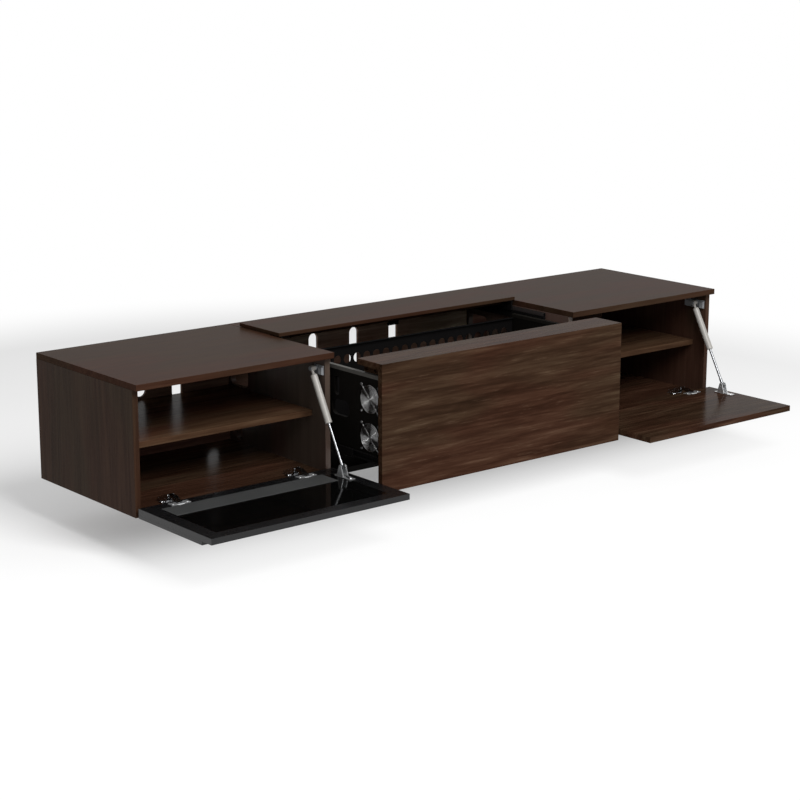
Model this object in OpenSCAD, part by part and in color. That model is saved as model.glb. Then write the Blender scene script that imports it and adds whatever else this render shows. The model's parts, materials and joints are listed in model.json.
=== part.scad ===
// Wall-hung media cabinet with two drop-down flaps, a projector drawer and a sliding lid.
// The origin is the centre of the wall bolts: X runs to the right, Y into the wall, Z up.
// It is drawn as it is used: flaps down, drawer out, lid slid back.

/* [Cabinet] */
// Width over the side panels
cab_w = 2440; // [2000:10:2800]
// Depth from the wall to the front edge of the tops
cab_d = 575; // [520:5:650]
// Height
cab_h = 400; // [380:5:460]
// Clear width of the middle bay
bay_w = 1020; // [900:10:1200]
// How far the tops reach past the carcass, to cover the flaps
overhang = 23; // [23:1:30]
// Thickness of the boards
board = 19; // [16:1:22]
// Thickness of the back panels
back_t = 10; // [6:1:14]
// Depth of the space behind the back panels, for the wall rails
back_recess = 19; // [17:1:26]
// Height of the shelf tops above the middle of the cabinet
shelf_top = 5; // [-20:1:20]
// How far the left shelf stands back from the carcass front
shelf_setback = 67; // [50:1:90]
// How much further forward the right shelf reaches
shelf_extra = 13; // [0:1:20]
// Radius of the shelf pins
pin_r = 2.5; // [2:0.5:4]
// Distance of the shelf pins from the shelf's front and back edges
pin_inset = 45; // [30:1:80]

/* [Cable slots] */
// Width of the tall slots in the backs
slot_w = 38; // [24:1:50]
// Lower end of the first tall slot in a side bay, just above its shelf
first_slot_low = 12; // [-60:1:30]
// Lower end of the second one
slot_low = -12; // [-60:1:4]
// Lower end of the tall slots in the middle bay
bay_slot_low = -70; // [-110:1:0]
// Lower end of the last slot in the middle bay
last_slot_low = 50; // [20:1:60]
// Upper end of the tall slots
slot_high = 130; // [100:1:132]
// Distance from the cabinet's end to the first tall slot of a side bay
side_slot_x = 352; // [200:1:400]
// Distance between the tall slots of a side bay
side_slot_pitch = 136; // [60:1:160]
// Place of the first tall slot of the middle bay
bay_slot_x = -182; // [-300:1:-120]
// Distance between the tall slots of the middle bay
bay_slot_pitch = 174; // [60:1:200]
// Width of the low slot of a side bay
low_slot_w = 50; // [30:1:60]
// Height of the low slot
low_slot_h = 57; // [54:1:90]
// Height of the low slot's lower end above the bottom board
low_slot_up = 29; // [3:1:40]
// Distance from the middle bay's wall to the low slot
low_slot_in = 85; // [60:1:120]
// Depth of the cable hole in the dividers
pass_d = 98; // [60:1:120]
// Height of the cable hole in the dividers
pass_h = 110; // [60:1:120]
// Corner radius of the cable hole
pass_r = 20; // [5:1:25]
// Depth of the small cable hole below it
small_pass_d = 34; // [30:1:50]
// Height of the small cable hole
small_pass_h = 44; // [30:1:60]
// Distance of the small hole's middle from the back panel
small_pass_in = 52; // [30:1:60]
// Height of the small hole's lower end above the bottom board
small_pass_up = 9; // [5:1:20]

/* [Flaps] */
// Thickness of the flaps
flap_t = 20; // [20:0.5:21]
// Gap round a closed flap
flap_gap = 1.5; // [1:0.5:3]
// Gap between a closed flap and the underside of the top
flap_top_gap = 2; // [1.5:0.5:4]
// Height of the closed flap's lower edge above the cabinet's bottom
flap_lift = 3; // [2:0.5:4]
// Distance of the turning axis in front of the closed right flap
axis_out = 4.5; // [3.5:0.5:6]
// How far the left flap's turning axis lies behind the right one's
axis_back = 5; // [3:0.5:5]
// Height of the turning axis above the cabinet's bottom
axis_up = 12.5; // [12:0.5:13]
// Width of the metal flap's frame rails
frame_w = 45; // [30:1:56]
// Width of the rail that holds the hinges
hinge_rail = 54; // [54:1:60]
// Thickness of the metal flap's frame
frame_t = 18.5; // [17:0.5:19]
// Thickness of the metal flap's outer panel, which stands proud of the tops
skin_t = 11.5; // [8:0.5:12]
// Width of the rabbet that holds the glass
rabbet = 6; // [4:1:8]
// Thickness of the glass
glass_t = 4; // [3:0.5:5]
// How far the outer panel of the metal flap stops short, as a finger pull
pull_d = 48; // [30:1:60]
// Gap between the strut's bracket on the metal flap and the plate behind the flap's hinges
plate_gap = 26.5; // [4:0.5:60]
// Width of that plate
plate_w = 85; // [60:1:100]
// Thickness of that plate
plate_t = 1; // [0.6:0.1:1.2]
// Distance of that plate from the outer end of the flap
plate_end = 49; // [30:1:80]
// Distance of that plate from the hinge edge of the flap
plate_edge = 45; // [44:1:80]

/* [Hinges] */
// Distance of the hinges from the ends of a side section
hinge_inset = 125; // [100:1:160]
// Radius of the hinge cup
cup_r = 17.5; // [15:0.5:20]
// Depth of the hinge cup
cup_d = 11.5; // [9:0.5:12]
// Distance of the cup's centre from the flap's hinge edge
cup_edge = 26; // [24:1:30]
// Length of the cup's flange
flange_l = 66; // [56:1:72]
// Width of the cup's flange
flange_w = 24; // [20:1:30]
// Thickness of the cup's flange
flange_t = 1.6; // [1.4:0.1:1.8]
// Distance of the link's pivot from the flap's axis, back and up alike
link_off = 32.5; // [31.5:0.5:34]
// Thickness of the hinge link
link_t = 8; // [6:0.5:8]
// Width of the hinge link
link_w = 18; // [12:1:20]
// Radius of the hinge link's pin
link_pin_r = 2.5; // [2:0.5:3]
// Distance of the hinge plates' wings from the carcass front
hinge_in = 22; // [20:1:30]
// Length of the hinge arms at their foot
arm_l = 44; // [36:1:60]
// Length of the mounting plate
foot_l = 50; // [40:1:60]
// Width of the mounting plate
foot_w = 44; // [36:1:60]
// Thickness of the mounting plate
foot_t = 2.5; // [1.5:0.5:4]

/* [Gas struts] */
// Distance of a strut's line from the panel beside it
strut_in = 22; // [21:0.5:24]
// Height of the upper pivot above the middle of the cabinet
strut_z = 145; // [130:0.5:150]
// Distance of the upper pivot behind the front edge of the tops
strut_y = 62; // [50:1:64]
// Length of the right strut's upper bracket
bracket_l = 84; // [70:1:100]
// Length of the left strut's upper bracket
bracket_short = 44; // [42:1:60]
// Length of a bracket in front of its pivot
bracket_nose = 32; // [20:1:40]
// Height of the brackets
bracket_h = 30; // [26:1:36]
// Height of a bracket above its pivot
bracket_up = 10; // [8:1:14]
// Distance of the lower pivot from the right flap's axis, along the flap
clevis_along = 86.5; // [75:0.5:100]
// Height of the lower pivot above the open flap
clevis_up = 31; // [26:1:36]
// Radius of the strut's tube
tube_r = 11; // [8:0.5:12]
// Radius of the strut's rod
rod_r = 4.5; // [3:0.5:5]
// Length of the tube
tube_l = 160; // [140:1:165]
// Distance from the upper pivot to the start of the tube
tube_start = 20; // [16:1:24]
// Radius of the strut's upper pin
strut_pin_r = 4; // [3:0.5:5]
// Width of the gap between the clevis stubs
stub_gap = 12; // [11:0.5:14]
// Thickness of the clevis ears
ear_t = 2.5; // [2:0.5:4]

/* [Drawer] */
// How far the drawer is out
drawer_out = 230; // [150:5:230]
// Gap at each end of the drawer front
front_gap = 2.5; // [2:0.5:4]
// Depth of the slab behind the drawer front
slab_d = 120; // [80:1:130]
// Space for the slides between drawer and divider
slide_space = 13; // [12.7:0.1:16]
// Thickness of the drawer sides
side_t = 12; // [10:1:15]
// Length of the drawer sides
side_l = 491; // [440:1:500]
// Height of the drawer sides' tops above the middle of the cabinet, with the trim
side_top = 157; // [140:1:159]
// Gap between the drawer sides and the bottom board
side_gap = 64; // [60:1:68]
// Distance of the drawer sides' cable slot from the front
side_slot_in = 216; // [150:1:300]
// Width of the drawer sides' cable slot
side_slot_w = 24; // [12:1:30]
// Lower and upper end of that slot
side_slot_low = 64; // [50:1:80]
side_slot_high = 124; // [110:1:134]
// Distance of the drawer sides' cable port from the front
port_in = 198; // [180:1:300]
// Height of the port's middle
port_z = 26; // [0:1:30]
// Length of the port
port_l = 86; // [50:1:100]
// Height of the port
port_h = 50; // [40:1:60]
// Corner radius of the port
port_r = 18; // [5:1:19]
// Height of the edge trims
trim_h = 12; // [8:0.5:16]
// Wall of the edge trims
trim_wall = 1; // [0.8:0.1:2]
// Thickness of the projector tray
tray_t = 12; // [9:1:18]
// Height of the tray's top above the bottom board
tray_up = 81; // [76:1:100]
// Thickness of the rear panel
rear_t = 2; // [1.5:0.5:3]
// Height of the rear panel's top above the middle of the cabinet
rear_top = 144; // [130:1:144]
// Depth of the rear panel's top flange
rear_flange = 12; // [8:1:20]
// Width of the rear panel's slots
vent_w = 29; // [10:1:30]
// Distance between those slots
vent_pitch = 40.6; // [36:0.1:41.5]
// Number of those slots
vent_n = 23; // [8:1:23]
// Upper end of those slots
vent_high = 112; // [112:1:130]
// Lower end of those slots
vent_low = 81; // [-80:1:81]

/* [Fans] */
// Side of the square fan frames
fan_s = 92; // [80:1:92]
// Thickness of the fan frames
fan_t = 25; // [20:1:30]
// Distance of the fans from the drawer front
fan_in = 52; // [47:1:70]
// Height of the lower fans above the middle of the cabinet
fan_low = -40; // [-60:1:-30]
// Distance between a lower and an upper fan
fan_pitch = 119; // [95:1:125]
// Wall of the fan's duct at its thinnest
duct_wall = 2.5; // [2:0.5:4]
// Radius of the fan's hub
hub_r = 19; // [15:1:22]
// Number of blades
blade_n = 7; // [3:1:11]
// Gap between the blades' tips and the duct
tip_gap = 1; // [0.5:0.5:3]
// Radius of the fan's axle
axle_r = 2; // [1.5:0.5:3]
// Distance between the fan's screws
fan_screw = 82.5; // [70:0.5:82.5]
// Radius of the guard's wires
wire_r = 0.9; // [0.7:0.1:1.2]
// Distance between the guard's rings
ring_pitch = 5.4; // [5:0.2:8]

/* [Slides and drive] */
// Height of the slides
slide_h = 27; // [22:1:27]
// Sheet of the slides
slide_sheet = 1.5; // [1.2:0.1:2]
// How much shorter the slides are than the drawer's sides
slide_short = 4; // [0:1:40]
// Running gap between the slides' members
slide_run = 0.3; // [0.2:0.05:0.4]
// Radius of the drive's outer tube
drive_tube_r = 14; // [12:1:16]
// Radius of the drive's rod
drive_rod_r = 8; // [6:0.5:9]
// Length of the drive's outer tube
drive_tube_l = 268; // [255:1:280]
// Length of the drive's two feet
drive_foot_l = 20; // [12:1:24]
// Radius of the drive's motor
motor_r = 18; // [14:1:20]
// Length of the drive's motor
motor_l = 140; // [100:1:160]
// Length of the control box
box_l = 150; // [100:1:180]
// Depth of the control box
box_d = 110; // [80:1:140]
// Height of the control box
box_h = 40; // [30:1:50]
// Distance of the control box from the right divider
box_in = 110; // [40:1:200]
// Distance of the control box from the back panel
box_back = 71; // [40:1:100]

/* [Lid] */
// Depth of the lid
lid_d = 221; // [180:1:230]
// Thickness of the lid
lid_t = 12; // [9:1:16]
// Distance from the wall to the lid's back edge
lid_back = 64; // [50:1:80]
// Depth of the fixed strip behind the bay opening
strip_d = 232; // [200:1:240]
// Gap under the lid
lid_gap = 1; // [0.5:0.5:2]
// Length of the lid's tracks
track_l = 404; // [380:1:405]
// Width of the lid's tracks
track_w = 10; // [8:1:11]
// Height of the lid's tracks
track_h = 38; // [24:1:40]
// Length of the lid's shoes that run in the tracks
shoe_l = 194; // [150:1:200]
// Height of the groove in the tracks
groove_h = 10; // [8:1:12]

/* [Wall rails] */
// Distance of the wall bolts from the cabinet's ends
bolt_in = 180; // [140:5:300]
// Distance between the upper and the lower wall bolts
bolt_z = 292; // [280:1:300]
// Radius of the bolt holes
bolt_r = 4.5; // [3:0.5:6]
// Thickness of the rails
rail_t = 3; // [2:0.5:4]
// Distance of the rails' ends from the cabinet's ends
rail_in = 70; // [25:5:200]
// Height of the rails' plates
rail_h = 24; // [20:1:26]
// Length of the lower plates
low_rail_l = 220; // [120:10:260]

/* [Hidden] */

walnut = [0.24, 0.16, 0.12];
black_board = [0.09, 0.09, 0.1];
dark_metal = [0.25, 0.26, 0.27];
bright_metal = [0.72, 0.73, 0.74];
plain_grey = [0.6, 0.61, 0.62];
black_steel = [0.06, 0.06, 0.06];

half_w = cab_w/2;
half_h = cab_h/2;
half_bay = bay_w/2;
bottom_z = -half_h;
top_z = half_h;
under_z = top_z - board;
floor_z = bottom_z + board;
front_y = -cab_d;
face_y = front_y + overhang;
back_y = -(back_recess + back_t);
mid_x = half_bay + board/2;
eps = 0.01;

right_axis_y = front_y - axis_out;
left_axis_y = right_axis_y + axis_back;
axis_z = bottom_z + axis_up;
flap_inner_y = front_y + flap_t;
flap_low = bottom_z + flap_lift;
flap_high = under_z - flap_top_gap;
left_flap_x = [-half_w + flap_gap, -half_bay - flap_gap];
right_flap_x = [half_bay + flap_gap, half_w - flap_gap];
left_open_z = axis_z + flap_inner_y - left_axis_y;
right_open_z = axis_z + flap_inner_y - right_axis_y;

hinge_left_x = [-half_w + hinge_inset, -half_bay - hinge_inset];
hinge_right_x = [half_bay + hinge_inset, half_w - hinge_inset];
link_z = axis_z + link_off;
nose_gap = 0.3;
run_gap = 0.05;

strut_left_x = -half_bay - board - strut_in;
strut_right_x = half_w - board - strut_in;
pivot_y = front_y + strut_y;
pivot_z = strut_z;
clevis_y = right_axis_y - clevis_along;
clevis_half = 11;
barrel_x = 6;

drawer_y = front_y - drawer_out;
front_x = half_bay - front_gap;
inside_y = drawer_y + board;
side_out = half_bay - slide_space;
side_in = side_out - side_t;
side_low = floor_z + side_gap;
rear_y = inside_y + side_l;
slide_l = side_l - slide_short;
rail_l = cab_w - 2*rail_in;
bolt_x = cab_w - 2*bolt_in;
tray_top = floor_z + tray_up;

fan_y = inside_y + fan_in;
fan_z = [fan_low, fan_low + fan_pitch];
duct_r = fan_s/2 - duct_wall;
blade_r = duct_r - tip_gap;
blade_w = fan_t*0.6;
stator_t = 3;
ring_n = floor((duct_r + 1)/ring_pitch);

slide_z = side_low + 1 + slide_h/2;
drive_z = (floor_z + tray_top - tray_t)/2;
drive_back = back_y - 16;
drive_front = drive_back - drive_tube_l;

lid_y = [-lid_back - lid_d, -lid_back];
lid_low = top_z + lid_gap;
track_back = back_y - 6;
track_top = under_z - 3;
groove_z = track_top - 8;
shoe_gap = 0.3;

rail_z = bolt_z/2;

module span(x, y, z) {
    translate([x[0], y[0], z[0]]) cube([x[1] - x[0], y[1] - y[0], z[1] - z[0]]);
}

// A rounded outline, w wide and h high, round its own centre
module rounded(w, h, r) {
    square([w - 2*r, h], center = true);
    square([w, h - 2*r], center = true);
    for (x = [-1, 1], y = [-1, 1]) translate([x*(w/2 - r), y*(h/2 - r)]) circle(r = r, $fn = 48);
}

// An upright slot with round ends, cut through along Y from y0 to y1
module slot_cut(x, z0, z1, w, y0, y1) {
    translate([x, y1, (z0 + z1)/2]) rotate([90, 0, 0]) linear_extrude(y1 - y0)
        union() {
            square([w, z1 - z0 - w], center = true);
            for (s = [-1, 1]) translate([0, s*((z1 - z0)/2 - w/2)]) circle(r = w/2, $fn = 48);
        }
}

// A round bar along X from x0 to x1, centred on y and z
module bar_x(x0, x1, y, z, r) {
    translate([x0, y, z]) rotate([0, 90, 0]) cylinder(r = r, h = x1 - x0, $fn = 48);
}

// Draws a child given at the middle of the cabinet at both ends, the second one mirrored
module both() {
    children();
    mirror([1, 0, 0]) children();
}

// Turns a flap from its closed place to its open one, about its axis at y
module opened(y) {
    translate([0, y, axis_z]) rotate([90, 0, 0]) translate([0, -y, -axis_z]) children();
}

// Lays a strut, drawn along -Z from its upper pivot, on its line to the clevis of a flap open at z
module on_strut(x, z) {
    tilt = atan2(pivot_y - clevis_y, pivot_z - z - clevis_up);
    translate([x, pivot_y, pivot_z]) rotate([-tilt, 0, 0]) children();
}

function strut_length(z) = norm([pivot_y - clevis_y, pivot_z - z - clevis_up]);

module pin_places(x0, x1) {
    for (x = [x0, x1], y = [face_y + shelf_setback + pin_inset, back_y - pin_inset])
        translate([x, y, shelf_top - board - pin_r]) rotate([0, 90, 0]) children();
}

pin_l = 16;

module pin_holes(x) {
    for (y = [face_y + shelf_setback + pin_inset, back_y - pin_inset])
        bar_x(x - pin_l/2, x + pin_l/2, y, shelf_top - board - pin_r, pin_r);
}

module end_panel(x0) {
    difference() {
        span([x0, x0 + board], [face_y, 0], [bottom_z, under_z]);
        pin_holes(x0 < 0 ? x0 + board : x0);
    }
}

module left_side_panel() {
    color(walnut) end_panel(-half_w);
}

module right_side_panel() {
    color(walnut) end_panel(half_w - board);
}

module divider() {
    pass_y = back_y - 11 - pass_d/2;
    pass_z = shelf_top + 3 + pass_h/2;
    difference() {
        span([-half_bay - board, -half_bay], [face_y, back_y], [bottom_z, under_z]);
        pin_holes(-half_bay - board);
        translate([-half_bay + 1, pass_y, pass_z]) rotate([0, -90, 0])
            linear_extrude(board + 2) rounded(pass_h, pass_d, pass_r);
        translate([-half_bay + 1, back_y - small_pass_in, floor_z + small_pass_up + small_pass_h/2])
            rotate([0, -90, 0])
                linear_extrude(board + 2) rounded(small_pass_h, small_pass_d, 14);
    }
}

module left_divider() {
    color(walnut) divider();
}

module right_divider() {
    color(walnut) mirror([1, 0, 0]) divider();
}

module left_top() {
    color(walnut) span([-half_w, -half_bay], [front_y, 0], [under_z, top_z]);
}

module right_top() {
    color(walnut) span([half_bay, half_w], [front_y, 0], [under_z, top_z]);
}

module left_bottom() {
    color(walnut) span([-half_w + board, -half_bay - board], [face_y, back_y], [bottom_z, floor_z]);
}

module right_bottom() {
    color(walnut) span([half_bay + board, half_w - board], [face_y, back_y], [bottom_z, floor_z]);
}

module centre_bottom() {
    color(black_board) span([-half_bay, half_bay], [face_y, back_y], [bottom_z, floor_z]);
}

module left_shelf() {
    color(walnut) span([-half_w + board + 0.5, -half_bay - board - 0.5],
        [face_y + shelf_setback, back_y - 6], [shelf_top - board, shelf_top]);
}

module right_shelf() {
    color(walnut) span([half_bay + board + 0.5, half_w - board - 0.5],
        [face_y + shelf_setback - shelf_extra, back_y - 6], [shelf_top - board, shelf_top]);
}

module shelf_pins() {
    color(bright_metal) both()
        for (x = [-half_w + board, -half_bay - board]) pin_holes(x);
}

module back_blank(x) {
    span(x, [back_y, -back_recess], [bottom_z, under_z]);
}

module side_back() {
    low_z = floor_z + low_slot_up;
    difference() {
        back_blank([-half_w + board, -mid_x]);
        for (i = [0, 1])
            slot_cut(-half_w + side_slot_x + i*side_slot_pitch, i == 0 ? first_slot_low : slot_low,
                slot_high, slot_w, back_y - 1, -back_recess + 1);
        slot_cut(-half_bay - low_slot_in, low_z, low_z + low_slot_h, low_slot_w,
            back_y - 1, -back_recess + 1);
    }
}

module left_back_panel() {
    color(walnut) side_back();
}

module right_back_panel() {
    color(walnut) mirror([1, 0, 0]) side_back();
}

module centre_back_panel() {
    color(walnut) difference() {
        back_blank([-mid_x, mid_x]);
        for (i = [0:2])
            slot_cut(bay_slot_x + i*bay_slot_pitch, i < 2 ? bay_slot_low : last_slot_low, slot_high,
                slot_w, back_y - 1, -back_recess + 1);
    }
}

module rear_top_strip() {
    color(walnut) span([-half_bay, half_bay], [-strip_d, 0], [under_z, top_z]);
}

// The wall's rail is a plate with a lip that stands off it, and the cabinet's hook drops behind the lip
lip_gap = 3;
hook_top = under_z - 2;
lip_top = hook_top - rail_t - 0.3;
lip_low = rail_z + rail_h/2;

module wall_rails() {
    color(bright_metal) {
        difference() {
            union() {
                span([-rail_l/2, rail_l/2], [-rail_t, 0], [rail_z - rail_h/2, lip_low]);
                span([-rail_l/2, rail_l/2], [-2*rail_t - lip_gap, 0], [lip_low - rail_t, lip_low]);
                span([-rail_l/2, rail_l/2], [-2*rail_t - lip_gap, -rail_t - lip_gap],
                    [lip_low - rail_t, lip_top]);
            }
            for (x = [-bolt_x/2, bolt_x/2]) wall_bolt_hole(x, rail_z);
        }
        for (s = [-1, 1]) difference() {
            span([s*bolt_x/2 - low_rail_l/2, s*bolt_x/2 + low_rail_l/2], [-rail_t, 0],
                [-rail_z - rail_h/2, -rail_z + rail_h/2]);
            wall_bolt_hole(s*bolt_x/2, -rail_z);
        }
    }
}

module wall_bolt_hole(x, z) {
    translate([x, 1, z]) rotate([90, 0, 0]) cylinder(r = bolt_r, h = rail_t + 2, $fn = 48);
}

module cabinet_hangers() {
    hook_y = -rail_t - 0.3;
    color(bright_metal) {
        span([-rail_l/2, rail_l/2], [-back_recess, -back_recess + rail_t], [lip_low, hook_top]);
        span([-rail_l/2, rail_l/2], [-back_recess, hook_y + 0.2], [hook_top - rail_t, hook_top]);
        span([-rail_l/2, rail_l/2], [-rail_t - lip_gap + 0.2, hook_y + 0.2],
            [lip_low + 2, hook_top]);
    }
    color(black_board) for (s = [-1, 1])
        difference() {
            span([s*bolt_x/2 - low_rail_l/2, s*bolt_x/2 + low_rail_l/2], [-back_recess, -rail_t],
                [-rail_z - rail_h/2, -rail_z + rail_h/2]);
            translate([s*bolt_x/2, -rail_t + 1, -rail_z]) rotate([90, 0, 0])
                cylinder(r = 2*bolt_r, h = back_recess, $fn = 48);
        }
}

// A small plate with a knob, over the upper end of the last slot
module catch() {
    x = bay_slot_x + 2*bay_slot_pitch;
    span([x - 24, x + 24], [back_y - 2, back_y], [slot_high - 14, slot_high + 10]);
    translate([x, back_y - 2, slot_high - 2]) rotate([90, 0, 0]) cylinder(r = 4, h = 5, $fn = 48);
    translate([x, back_y - 7, slot_high - 2]) rotate([90, 0, 0]) cylinder(r = 9, h = 7, $fn = 48);
}

module tracks_and_catch() {
    color(black_steel) {
        both() difference() {
            span([-half_bay, -half_bay + track_w], [track_back - track_l, track_back],
                [track_top - track_h, track_top]);
            span([-half_bay + 4, -half_bay + track_w + 1],
                [track_back - track_l - 1, track_back + 1], [groove_z - groove_h/2, groove_z + groove_h/2]);
        }
        catch();
    }
}

// The lid's shoes run in the tracks, and an arm at the lid's front edge carries it past the strip
module lid_runners() {
    shoe_x = [-half_bay + 4 + shoe_gap, -half_bay + track_w + 1];
    shoe_z = [groove_z - groove_h/2 + shoe_gap, groove_z + groove_h/2 - shoe_gap];
    color(black_steel) both() {
        span(shoe_x, [lid_y[0] + 2, lid_y[0] + 2 + shoe_l], shoe_z);
        span([shoe_x[1], shoe_x[1] + 6], [lid_y[0] + 2, -strip_d - 6], [shoe_z[0], lid_low]);
        span([shoe_x[1] + 6, shoe_x[1] + 30], [lid_y[0] + 2, -strip_d - 6], [lid_low - 2, lid_low]);
    }
}

module sliding_lid() {
    color(walnut) span([-front_x, front_x], lid_y, [lid_low, lid_low + lid_t]);
}

module foot(x) {
    y0 = face_y + hinge_in;
    span([x - foot_w/2, x + foot_w/2], [y0, y0 + 20], [floor_z, floor_z + foot_t]);
    span([x - link_w/2 - 4, x + link_w/2 + 4], [y0 - 6, y0 - 6 + foot_l], [floor_z, floor_z + foot_t]);
    for (s = [-1, 1]) translate([x + s*(foot_w/2 - 7), y0 + 10, floor_z + foot_t])
        cylinder(r1 = 4, r2 = 3, h = 1.6, $fn = 32);
}

module hinge_plates() {
    color(bright_metal) for (x = concat(hinge_left_x, hinge_right_x)) foot(x);
}

function link_y(x) = link_off + (x < 0 ? left_axis_y : right_axis_y);

// A side cheek of the hinge arm, x0 to x1, from its foot up to the pin of the link
module cheek(x0, x1) {
    r = link_t/2 + 0.5;
    y = link_y(x0);
    foot_z = floor_z + foot_t;
    front = face_y + hinge_in - 4;
    back = front + arm_l;
    translate([x0, 0, 0]) rotate([90, 0, 90]) linear_extrude(x1 - x0) union() {
        translate([y, link_z]) circle(r = r, $fn = 48);
        polygon([[y - r*0.7, link_z - r*0.72], [y - r*0.1, link_z + r],
            [front + 2, link_z + r - 2], [back, foot_z + 8], [back, foot_z],
            [front, foot_z], [front - 8, link_z - 8]]);
    }
}

module arm(x) {
    side = link_w/2 + 0.5;
    for (s = [-1, 1]) cheek(s < 0 ? x - side - 2 : x + side, s < 0 ? x - side : x + side + 2);
    bar_x(x - side, x + side, link_y(x), link_z, link_pin_r);
    span([x - side, x + side], [face_y + hinge_in + 4, face_y + hinge_in - 6 + arm_l],
        [floor_z + foot_t, floor_z + foot_t + 3]);
    translate([x, face_y + hinge_in - 16 + arm_l, floor_z + foot_t + 3]) cylinder(r = 4, h = 2, $fn = 32);
}

module hinge_arms() {
    color(bright_metal) for (x = concat(hinge_left_x, hinge_right_x)) arm(x);
}

// The link slopes from the arm's pin down to the flap's flange and lies just above it
module link(x) {
    y = link_y(x);
    tip_y = y - link_off + axis_up - flap_lift - cup_edge;
    low = (x < 0 ? left_open_z : right_open_z) + flange_t + nose_gap;
    half = link_t/2;
    difference() {
        union() {
            bar_x(x - link_w/2, x + link_w/2, y, link_z, half);
            translate([x - link_w/2, 0, 0]) rotate([90, 0, 90]) linear_extrude(link_w)
                polygon([[y, link_z - half], [y, link_z + half], [y - 24, link_z + half],
                    [tip_y - 6, low + 2], [tip_y - 6, low], [tip_y + 8, low], [y - 20, link_z - half]]);
        }
        bar_x(x - link_w, x + link_w, y, link_z, link_pin_r + run_gap);
    }
}

module left_hinge_links() {
    color(bright_metal) for (x = hinge_left_x) link(x);
}

module right_hinge_links() {
    color(bright_metal) for (x = hinge_right_x) link(x);
}

// The cups are drawn on the closed flap, whose inner face they are set in
module cup(x) {
    z = flap_low + cup_edge;
    difference() {
        union() {
            translate([x, flap_inner_y - cup_d, z]) rotate([-90, 0, 0])
                cylinder(r = cup_r, h = cup_d, $fn = 64);
            span([x - flange_l/2, x + flange_l/2], [flap_inner_y, flap_inner_y + flange_t],
                [z - flange_w/2, z + flange_w/2]);
        }
        translate([x, flap_inner_y - cup_d + 1.5, z]) rotate([-90, 0, 0])
            cylinder(r = cup_r - 1.5 > flange_w/2 - 2 ? flange_w/2 - 2 : cup_r - 1.5,
                h = cup_d + flange_t, $fn = 64);
    }
    for (s = [-1, 1]) translate([x + s*(flange_l/2 - 8), flap_inner_y + flange_t, z + 3])
        rotate([-90, 0, 0]) cylinder(r1 = 3.5, r2 = 3, h = 0.6, $fn = 32);
}

module cup_bores(xs) {
    for (x = xs) translate([x, flap_inner_y - cup_d, flap_low + cup_edge]) rotate([-90, 0, 0])
        cylinder(r = cup_r, h = cup_d + 1, $fn = 64);
}

module left_hinge_cups() {
    color(bright_metal) opened(left_axis_y) for (x = hinge_left_x) cup(x);
}

module right_hinge_cups() {
    color(bright_metal) opened(right_axis_y) for (x = hinge_right_x) cup(x);
}

// The room inside the metal flap's rails, less an inset all round, from y0 to y1
module flap_window(inset, y0, y1) {
    span([left_flap_x[0] + frame_w + inset, left_flap_x[1] - frame_w - inset], [y0, y1],
        [flap_low + hinge_rail + inset, flap_high - frame_w - inset]);
}

module left_flap_frame() {
    color(dark_metal) opened(left_axis_y) difference() {
        span(left_flap_x, [flap_inner_y - frame_t, flap_inner_y], [flap_low, flap_high]);
        flap_window(0, flap_inner_y - glass_t - 0.5, flap_inner_y + 1);
        flap_window(rabbet, flap_inner_y - frame_t - 1, flap_inner_y);
        cup_bores(hinge_left_x);
    }
}

module left_flap_glass() {
    color([0.03, 0.03, 0.035]) opened(left_axis_y)
        flap_window(0.2, flap_inner_y - glass_t - 0.5, flap_inner_y - 0.5);
}

module left_flap_outer_panel() {
    y = flap_inner_y - frame_t;
    color(dark_metal) opened(left_axis_y) span(left_flap_x, [y - skin_t, y], [flap_low, flap_high - pull_d]);
}

module left_flap_hinge_plate() {
    x0 = left_flap_x[0] + plate_end;
    x1 = strut_left_x - clevis_half - plate_gap;
    color(plain_grey) opened(left_axis_y) span([x0, x1], [flap_inner_y, flap_inner_y + plate_t],
        [flap_low + plate_edge, flap_low + plate_edge + plate_w]);
}

module right_flap_panel() {
    color(walnut) opened(right_axis_y) difference() {
        span(right_flap_x, [front_y, flap_inner_y], [flap_low, flap_high]);
        cup_bores(hinge_right_x);
    }
}

// The lower bracket of a strut: a plate on the flap open at z0 and two ears with short stubs
module clevis(x, z0) {
    plate = [clevis_y - 49, clevis_y + 28];
    out = stub_gap/2 + 2;
    z1 = z0 + ear_t;
    eye_z = z0 + clevis_up;
    span([x - clevis_half, x + clevis_half], plate, [z0, z1]);
    for (s = [-1, 1]) {
        translate([s < 0 ? x - out - ear_t : x + out, 0, 0]) rotate([90, 0, 90]) linear_extrude(ear_t)
            union() {
                translate([clevis_y, eye_z]) circle(r = 7, $fn = 48);
                polygon([[clevis_y - 16, z1], [clevis_y + 16, z1],
                    [clevis_y + 6.6, eye_z + 2.3], [clevis_y - 6.6, eye_z + 2.3]]);
            }
        bar_x(s < 0 ? x - out : x + stub_gap/2, s < 0 ? x - stub_gap/2 : x + out,
            clevis_y, eye_z, 3);
    }
    for (y = [plate[0] + 9, plate[1] - 7]) translate([x, y, z1]) cylinder(r1 = 4, r2 = 3, h = 1.5, $fn = 32);
}

module left_clevis() {
    color(plain_grey) clevis(strut_left_x, left_open_z);
}

module right_clevis() {
    color(plain_grey) clevis(strut_right_x, right_open_z);
}

eye_w = 9;

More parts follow.
